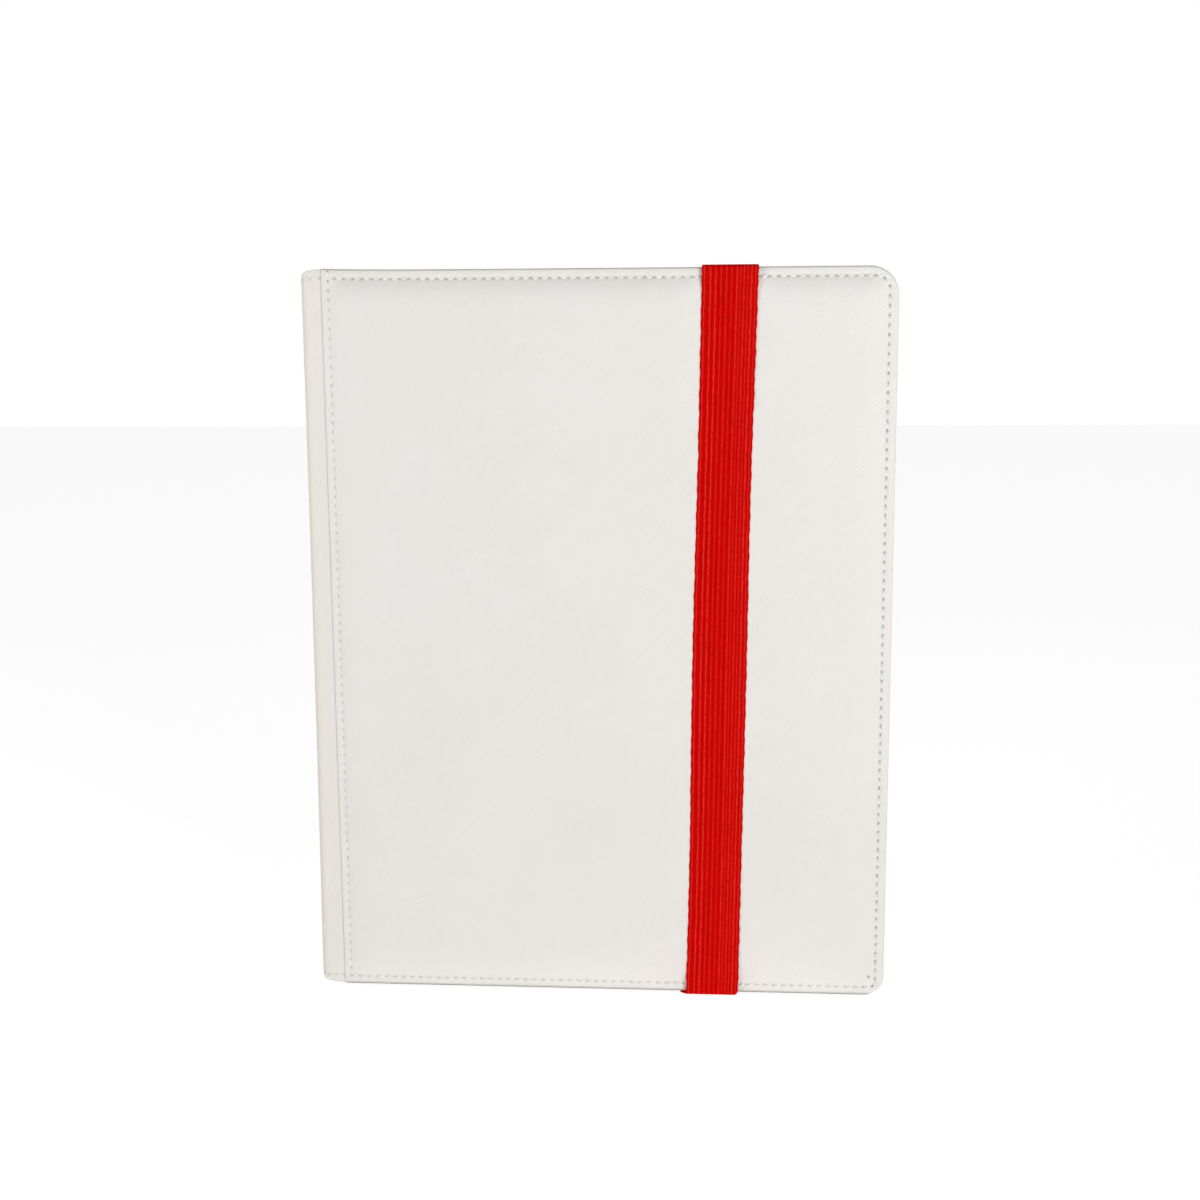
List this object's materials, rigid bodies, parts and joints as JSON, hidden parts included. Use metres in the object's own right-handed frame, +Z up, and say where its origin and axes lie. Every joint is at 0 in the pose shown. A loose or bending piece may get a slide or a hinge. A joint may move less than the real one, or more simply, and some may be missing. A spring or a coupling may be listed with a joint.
{
  "type": "trading card binder",
  "caption": "Padded leatherette trading card binder with hinged covers, fixed side-loading clear pocket leaves and an elastic closure band.",
  "frame": {"origin": "middle of the closed binder's footprint, on the surface it stands on", "axes": "+Z up along the spine, -Y out of the front cover, +X from the spine to the fore-edge"},
  "size_m": [0.2698, 0.0372, 0.3429],
  "materials": {
    "cover_leather": "white leatherette with a fine cross grain, satin",
    "padding_foam": "soft foam sheet",
    "cover_board": "dense grey board",
    "lining_fabric": "black microfibre, matt",
    "binding_tape": "black woven binding tape, matt",
    "leaf_core": "black polypropylene sheet, satin",
    "pocket_film": "clear polypropylene film, glossy",
    "elastic_webbing": "ribbed knitted elastic, matt"
  },
  "bodies": {
    "back_cover": {"back_cover_skin": "cover_leather", "back_cover_foam": "padding_foam", "back_cover_board": "cover_board", "back_cover_lining": "lining_fabric", "back_cover_hinge_strip": "cover_leather"},
    "spine": {"spine_skin": "cover_leather", "spine_board": "cover_board", "spine_lining": "lining_fabric", "page_binding_block": "binding_tape"},
    "front_cover": {"front_cover_skin": "cover_leather", "front_cover_foam": "padding_foam", "front_cover_board": "cover_board", "front_cover_lining": "lining_fabric", "front_cover_hinge_strip": "cover_leather"},
    "elastic_band": {"elastic_band": "elastic_webbing"},
    "leaf_01": {"leaf_01_core": "leaf_core", "leaf_01_front_film": "pocket_film", "leaf_01_back_film": "pocket_film"},
    "leaf_02": {"leaf_02_core": "leaf_core", "leaf_02_front_film": "pocket_film", "leaf_02_back_film": "pocket_film"},
    "leaf_03": {"leaf_03_core": "leaf_core", "leaf_03_front_film": "pocket_film", "leaf_03_back_film": "pocket_film"},
    "leaf_04": {"leaf_04_core": "leaf_core", "leaf_04_front_film": "pocket_film", "leaf_04_back_film": "pocket_film"},
    "leaf_05": {"leaf_05_core": "leaf_core", "leaf_05_front_film": "pocket_film", "leaf_05_back_film": "pocket_film"},
    "leaf_06": {"leaf_06_core": "leaf_core", "leaf_06_front_film": "pocket_film", "leaf_06_back_film": "pocket_film"},
    "leaf_07": {"leaf_07_core": "leaf_core", "leaf_07_front_film": "pocket_film", "leaf_07_back_film": "pocket_film"},
    "leaf_08": {"leaf_08_core": "leaf_core", "leaf_08_front_film": "pocket_film", "leaf_08_back_film": "pocket_film"},
    "leaf_09": {"leaf_09_core": "leaf_core", "leaf_09_front_film": "pocket_film", "leaf_09_back_film": "pocket_film"},
    "leaf_10": {"leaf_10_core": "leaf_core", "leaf_10_front_film": "pocket_film", "leaf_10_back_film": "pocket_film"},
    "leaf_11": {"leaf_11_core": "leaf_core", "leaf_11_front_film": "pocket_film", "leaf_11_back_film": "pocket_film"},
    "leaf_12": {"leaf_12_core": "leaf_core", "leaf_12_front_film": "pocket_film", "leaf_12_back_film": "pocket_film"}
  },
  "joints": [
    {"name": "front_cover_hinge", "type": "hinge", "parent": "spine", "child": "front_cover", "pos_m": [-0.13045, -0.01591, 0], "axis": [0, 0, -1], "range_deg": [0, 90], "deforming": ["elastic_band"]},
    {"name": "spine_hinge", "type": "hinge", "parent": "back_cover", "child": "spine", "pos_m": [-0.13045, 0.01736, 0], "axis": [0, 0, -1], "range_deg": [0, 90]},
    {"name": "leaf_01_fold", "type": "hinge", "parent": "spine", "child": "leaf_01", "pos_m": [-0.12451, -0.01, 0], "axis": [0, 0, -1], "range_deg": [0, 80.01]},
    {"name": "leaf_02_fold", "type": "hinge", "parent": "spine", "child": "leaf_02", "pos_m": [-0.12451, -0.00805, 0], "axis": [0, 0, -1], "range_deg": [0, 65.46]},
    {"name": "leaf_03_fold", "type": "hinge", "parent": "spine", "child": "leaf_03", "pos_m": [-0.12451, -0.0061, 0], "axis": [0, 0, -1], "range_deg": [0, 50.92]},
    {"name": "leaf_04_fold", "type": "hinge", "parent": "spine", "child": "leaf_04", "pos_m": [-0.12451, -0.00415, 0], "axis": [0, 0, -1], "range_deg": [0, 36.37]},
    {"name": "leaf_05_fold", "type": "hinge", "parent": "spine", "child": "leaf_05", "pos_m": [-0.12451, -0.0022, 0], "axis": [0, 0, -1], "range_deg": [0, 21.83]},
    {"name": "leaf_06_fold", "type": "hinge", "parent": "spine", "child": "leaf_06", "pos_m": [-0.12451, -0.00025, 0], "axis": [0, 0, -1], "range_deg": [0, 7.28]},
    {"name": "leaf_07_fold", "type": "hinge", "parent": "spine", "child": "leaf_07", "pos_m": [-0.12451, 0.0017, 0], "axis": [0, 0, -1], "range_deg": [-7.28, 0]},
    {"name": "leaf_08_fold", "type": "hinge", "parent": "spine", "child": "leaf_08", "pos_m": [-0.12451, 0.00365, 0], "axis": [0, 0, -1], "range_deg": [-21.83, 0]},
    {"name": "leaf_09_fold", "type": "hinge", "parent": "spine", "child": "leaf_09", "pos_m": [-0.12451, 0.0056, 0], "axis": [0, 0, -1], "range_deg": [-36.37, 0]},
    {"name": "leaf_10_fold", "type": "hinge", "parent": "spine", "child": "leaf_10", "pos_m": [-0.12451, 0.00755, 0], "axis": [0, 0, -1], "range_deg": [-50.92, 0]},
    {"name": "leaf_11_fold", "type": "hinge", "parent": "spine", "child": "leaf_11", "pos_m": [-0.12451, 0.0095, 0], "axis": [0, 0, -1], "range_deg": [-65.46, 0]},
    {"name": "leaf_12_fold", "type": "hinge", "parent": "spine", "child": "leaf_12", "pos_m": [-0.12451, 0.01145, 0], "axis": [0, 0, -1], "range_deg": [-80.01, 0]},
    {"name": "band_release", "type": "slide", "parent": "back_cover", "child": "elastic_band", "axis": [0, 1, 0], "range_m": [0, 0.041]}
  ],
  "couplings": [
    {"joint": "spine_hinge", "follows": "front_cover_hinge", "ratio": 1},
    {"joint": "leaf_01_fold", "follows": "front_cover_hinge", "ratio": 0.88889},
    {"joint": "leaf_02_fold", "follows": "front_cover_hinge", "ratio": 0.72727},
    {"joint": "leaf_03_fold", "follows": "front_cover_hinge", "ratio": 0.56566},
    {"joint": "leaf_04_fold", "follows": "front_cover_hinge", "ratio": 0.40404},
    {"joint": "leaf_05_fold", "follows": "front_cover_hinge", "ratio": 0.24242},
    {"joint": "leaf_06_fold", "follows": "front_cover_hinge", "ratio": 0.08081},
    {"joint": "leaf_07_fold", "follows": "front_cover_hinge", "ratio": -0.08081},
    {"joint": "leaf_08_fold", "follows": "front_cover_hinge", "ratio": -0.24242},
    {"joint": "leaf_09_fold", "follows": "front_cover_hinge", "ratio": -0.40404},
    {"joint": "leaf_10_fold", "follows": "front_cover_hinge", "ratio": -0.56566},
    {"joint": "leaf_11_fold", "follows": "front_cover_hinge", "ratio": -0.72727},
    {"joint": "leaf_12_fold", "follows": "front_cover_hinge", "ratio": -0.88889},
    {"joint": "band_release", "follows": "front_cover_hinge", "m_per_rad": 0.02585}
  ]
}
